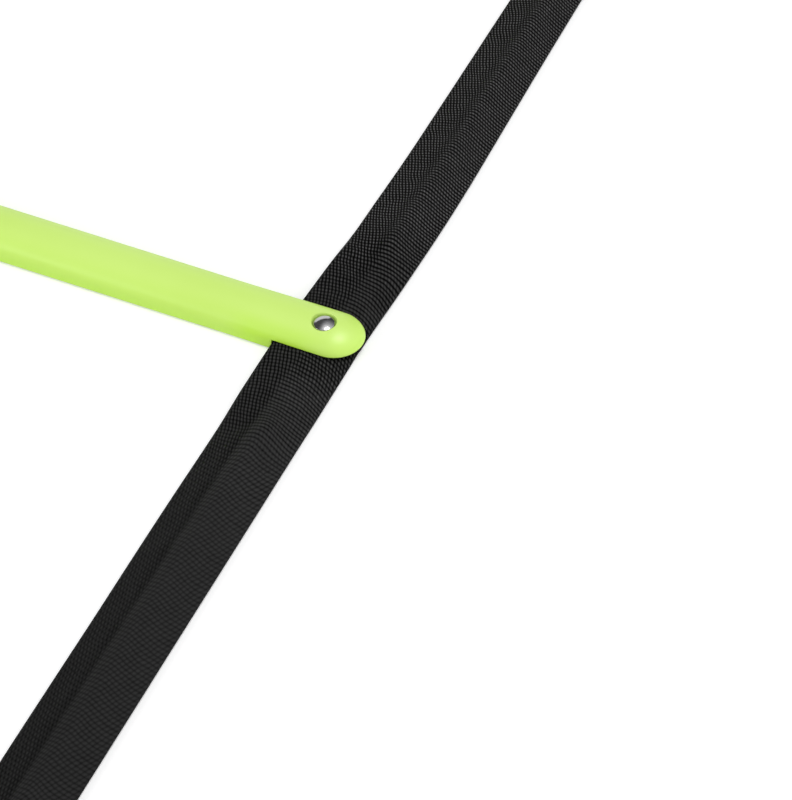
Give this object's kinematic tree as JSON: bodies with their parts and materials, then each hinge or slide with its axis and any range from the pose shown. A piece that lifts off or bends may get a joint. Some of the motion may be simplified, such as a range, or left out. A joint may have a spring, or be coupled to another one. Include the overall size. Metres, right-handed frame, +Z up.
{
  "type": "agility ladder",
  "caption": "Flat agility ladder: domed lime plastic rungs riveted across two black padded straps that fold up between them, with peg eyelets at the strap ends.",
  "frame": {"origin": "middle of the ladder's footprint, on the ground, under the middle rung", "axes": "+X along the rungs towards the right strap, +Y along the straps towards the back end, +Z up"},
  "size_m": [0.4628, 1.79, 0.0138],
  "materials": {
    "rung_plastic": "satin injection-moulded",
    "strap_fabric": "plain-woven polyester sleeve",
    "rivet_metal": "nickel-plated, polished",
    "washer_metal": "plain pressed steel",
    "eyelet_metal": "nickel-plated, pressed"
  },
  "bodies": {
    "station_3": {"rung_3": "rung_plastic", "left_strap_seat_3": "strap_fabric", "left_rivet_3": "rivet_metal", "left_washer_3": "washer_metal", "right_strap_seat_3": "strap_fabric", "right_rivet_3": "rivet_metal", "right_washer_3": "washer_metal"},
    "bay_3_front": {"left_strap_bay_3_front": "strap_fabric", "right_strap_bay_3_front": "strap_fabric"},
    "bay_3_back": {"left_strap_bay_3_back": "strap_fabric", "right_strap_bay_3_back": "strap_fabric"},
    "station_4": {"rung_4": "rung_plastic", "left_strap_seat_4": "strap_fabric", "left_rivet_4": "rivet_metal", "left_washer_4": "washer_metal", "right_strap_seat_4": "strap_fabric", "right_rivet_4": "rivet_metal", "right_washer_4": "washer_metal"},
    "bay_4_front": {"left_strap_bay_4_front": "strap_fabric", "right_strap_bay_4_front": "strap_fabric"},
    "bay_4_back": {"left_strap_bay_4_back": "strap_fabric", "right_strap_bay_4_back": "strap_fabric"},
    "station_5": {"rung_5": "rung_plastic", "left_strap_seat_5": "strap_fabric", "left_rivet_5": "rivet_metal", "left_washer_5": "washer_metal", "right_strap_seat_5": "strap_fabric", "right_rivet_5": "rivet_metal", "right_washer_5": "washer_metal"},
    "back_tails": {"left_strap_back_tail": "strap_fabric", "left_back_eyelet": "eyelet_metal", "right_strap_back_tail": "strap_fabric", "right_back_eyelet": "eyelet_metal"},
    "bay_2_back": {"left_strap_bay_2_back": "strap_fabric", "right_strap_bay_2_back": "strap_fabric"},
    "bay_2_front": {"left_strap_bay_2_front": "strap_fabric", "right_strap_bay_2_front": "strap_fabric"},
    "station_2": {"rung_2": "rung_plastic", "left_strap_seat_2": "strap_fabric", "left_rivet_2": "rivet_metal", "left_washer_2": "washer_metal", "right_strap_seat_2": "strap_fabric", "right_rivet_2": "rivet_metal", "right_washer_2": "washer_metal"},
    "bay_1_back": {"left_strap_bay_1_back": "strap_fabric", "right_strap_bay_1_back": "strap_fabric"},
    "bay_1_front": {"left_strap_bay_1_front": "strap_fabric", "right_strap_bay_1_front": "strap_fabric"},
    "station_1": {"rung_1": "rung_plastic", "left_strap_seat_1": "strap_fabric", "left_rivet_1": "rivet_metal", "left_washer_1": "washer_metal", "right_strap_seat_1": "strap_fabric", "right_rivet_1": "rivet_metal", "right_washer_1": "washer_metal"},
    "front_tails": {"left_strap_front_tail": "strap_fabric", "left_front_eyelet": "eyelet_metal", "right_strap_front_tail": "strap_fabric", "right_front_eyelet": "eyelet_metal"}
  },
  "joints": [
    {"name": "bay_3_fold", "type": "hinge", "parent": "station_3", "child": "bay_3_front", "pos_m": [0, 0.024, 0.0052], "axis": [1, 0, 0], "range_deg": [0, 85]},
    {"name": "bay_3_crease", "type": "hinge", "parent": "bay_3_front", "child": "bay_3_back", "pos_m": [0, 0.20525, 0], "axis": [1, 0, 0], "range_deg": [-170, 0]},
    {"name": "bay_3_level", "type": "hinge", "parent": "bay_3_back", "child": "station_4", "pos_m": [0, 0.3865, 0.0052], "axis": [1, 0, 0], "range_deg": [0, 85]},
    {"name": "bay_4_fold", "type": "hinge", "parent": "station_4", "child": "bay_4_front", "pos_m": [0, 0.4345, 0.0052], "axis": [1, 0, 0], "range_deg": [0, 85]},
    {"name": "bay_4_crease", "type": "hinge", "parent": "bay_4_front", "child": "bay_4_back", "pos_m": [0, 0.61575, 0], "axis": [1, 0, 0], "range_deg": [-170, 0]},
    {"name": "bay_4_level", "type": "hinge", "parent": "bay_4_back", "child": "station_5", "pos_m": [0, 0.797, 0.0052], "axis": [1, 0, 0], "range_deg": [0, 85]},
    {"name": "back_tails_fold", "type": "hinge", "parent": "station_5", "child": "back_tails", "pos_m": [0, 0.845, 0.0052], "axis": [1, 0, 0], "range_deg": [0, 150]},
    {"name": "bay_2_fold", "type": "hinge", "parent": "station_3", "child": "bay_2_back", "pos_m": [0, -0.024, 0.0052], "axis": [-1, 0, 0], "range_deg": [0, 85]},
    {"name": "bay_2_crease", "type": "hinge", "parent": "bay_2_back", "child": "bay_2_front", "pos_m": [0, -0.20525, 0], "axis": [-1, 0, 0], "range_deg": [-170, 0]},
    {"name": "bay_2_level", "type": "hinge", "parent": "bay_2_front", "child": "station_2", "pos_m": [0, -0.3865, 0.0052], "axis": [-1, 0, 0], "range_deg": [0, 85]},
    {"name": "bay_1_fold", "type": "hinge", "parent": "station_2", "child": "bay_1_back", "pos_m": [0, -0.4345, 0.0052], "axis": [-1, 0, 0], "range_deg": [0, 85]},
    {"name": "bay_1_crease", "type": "hinge", "parent": "bay_1_back", "child": "bay_1_front", "pos_m": [0, -0.61575, 0], "axis": [-1, 0, 0], "range_deg": [-170, 0]},
    {"name": "bay_1_level", "type": "hinge", "parent": "bay_1_front", "child": "station_1", "pos_m": [0, -0.797, 0.0052], "axis": [-1, 0, 0], "range_deg": [0, 85]},
    {"name": "front_tails_fold", "type": "hinge", "parent": "station_1", "child": "front_tails", "pos_m": [0, -0.845, 0.0052], "axis": [-1, 0, 0], "range_deg": [0, 150]}
  ],
  "couplings": [
    {"joint": "bay_3_crease", "follows": "bay_3_fold", "ratio": -2},
    {"joint": "bay_3_level", "follows": "bay_3_fold", "ratio": 1},
    {"joint": "bay_4_crease", "follows": "bay_4_fold", "ratio": -2},
    {"joint": "bay_4_level", "follows": "bay_4_fold", "ratio": 1},
    {"joint": "bay_2_crease", "follows": "bay_2_fold", "ratio": -2},
    {"joint": "bay_2_level", "follows": "bay_2_fold", "ratio": 1},
    {"joint": "bay_1_crease", "follows": "bay_1_fold", "ratio": -2},
    {"joint": "bay_1_level", "follows": "bay_1_fold", "ratio": 1}
  ]
}
